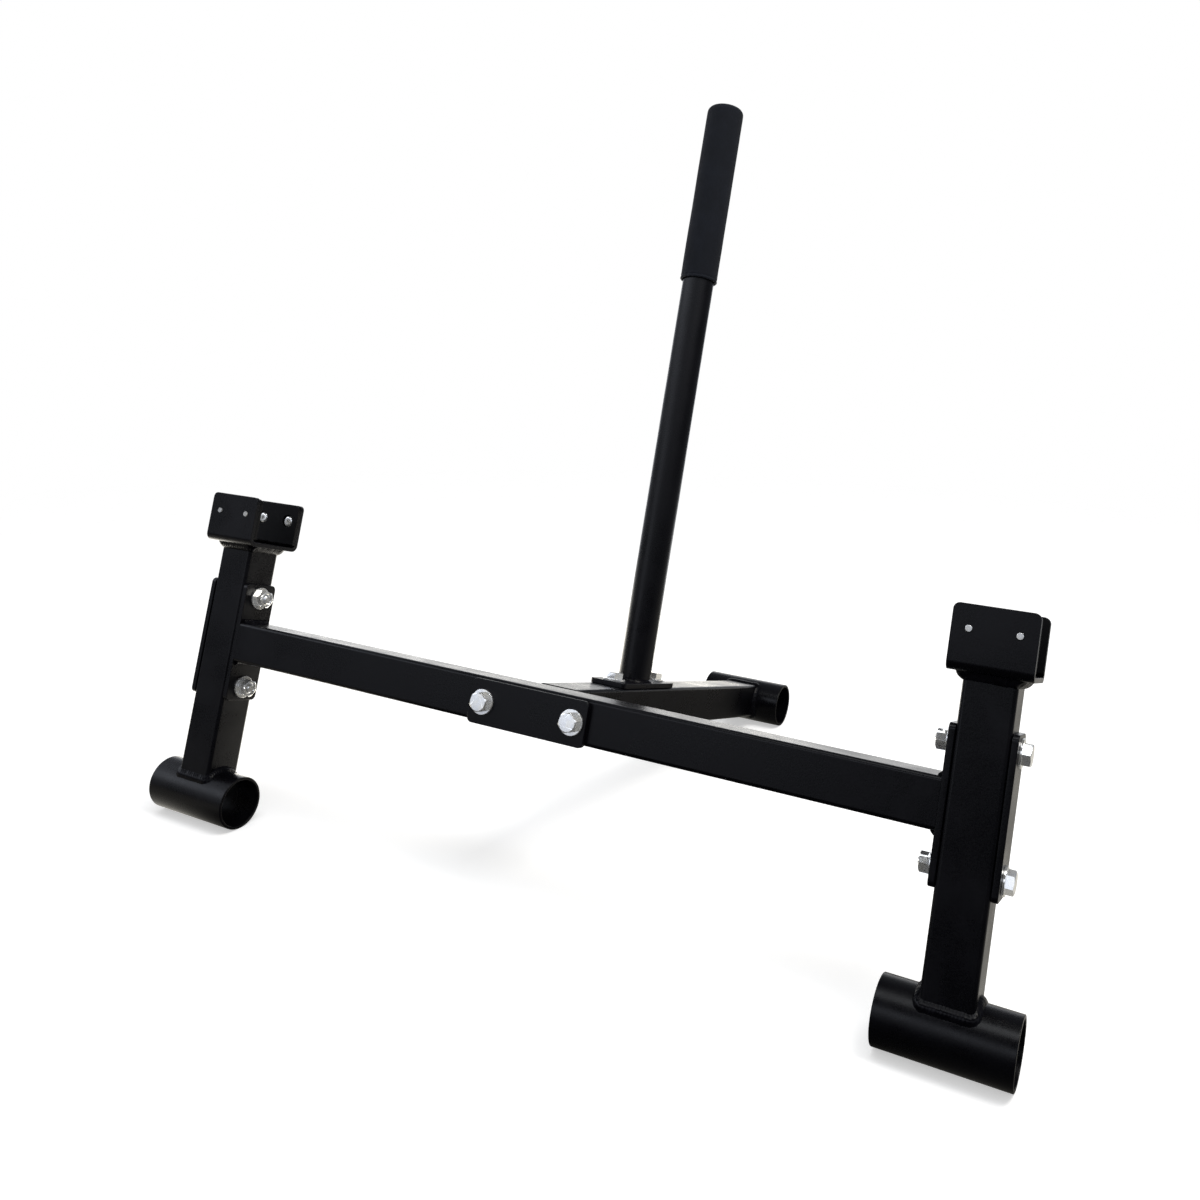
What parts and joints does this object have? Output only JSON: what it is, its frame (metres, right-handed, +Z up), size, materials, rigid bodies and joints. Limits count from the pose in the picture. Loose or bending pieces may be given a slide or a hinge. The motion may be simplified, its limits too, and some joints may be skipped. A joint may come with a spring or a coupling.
{
  "type": "deadlift jack",
  "caption": "Bolted T-shaped lifting frame of square tube on round tube feet, with lined U cradles for a barbell and a long gripped handle.",
  "frame": {"origin": "on the floor, at the centre of the stance between the front feet and the rear foot, with the jack at rest on its three feet", "axes": "+X along the crossbeam towards the right-hand cradle, +Y from the front feet back to the rear foot, +Z up; at rest the uprights and the handle lean back 16.9 degrees towards +Y"},
  "size_m": [0.862, 0.6038, 0.7497],
  "materials": {
    "powder_coat": "satin black powder coat",
    "zinc": "bright zinc plate",
    "liner_plastic": "matte black sheet plastic",
    "grip_foam": "matte black closed-cell foam"
  },
  "bodies": {
    "root": {"crossbeam": "powder_coat", "front_clamp_plate": "powder_coat", "rear_beam_end_plate": "powder_coat", "rear_beam_end_weld": "powder_coat", "rear_beam": "powder_coat", "rear_foot_tube": "powder_coat", "rear_foot_weld": "powder_coat", "centre_bolts": "zinc", "centre_washers": "zinc", "centre_nuts": "zinc", "handle_base_plate": "powder_coat", "handle_tube": "powder_coat", "handle_weld": "powder_coat", "handle_grip": "grip_foam", "handle_bolts": "zinc", "handle_washers": "zinc", "handle_nuts": "zinc", "left_upright": "powder_coat", "left_foot_tube": "powder_coat", "left_foot_weld": "powder_coat", "left_beam_end_plate": "powder_coat", "left_beam_end_weld": "powder_coat", "left_outer_plate": "powder_coat", "left_upright_bolts": "zinc", "left_upright_washers": "zinc", "left_upright_nuts": "zinc", "left_cradle_bracket": "powder_coat", "left_cradle_weld": "powder_coat", "left_cradle_front_liner": "liner_plastic", "left_cradle_rear_liner": "liner_plastic", "left_liner_screws": "zinc", "right_upright": "powder_coat", "right_foot_tube": "powder_coat", "right_foot_weld": "powder_coat", "right_beam_end_plate": "powder_coat", "right_beam_end_weld": "powder_coat", "right_outer_plate": "powder_coat", "right_upright_bolts": "zinc", "right_upright_washers": "zinc", "right_upright_nuts": "zinc", "right_cradle_bracket": "powder_coat", "right_cradle_weld": "powder_coat", "right_cradle_front_liner": "liner_plastic", "right_cradle_rear_liner": "liner_plastic", "right_liner_screws": "zinc"}
  },
  "joints": []
}
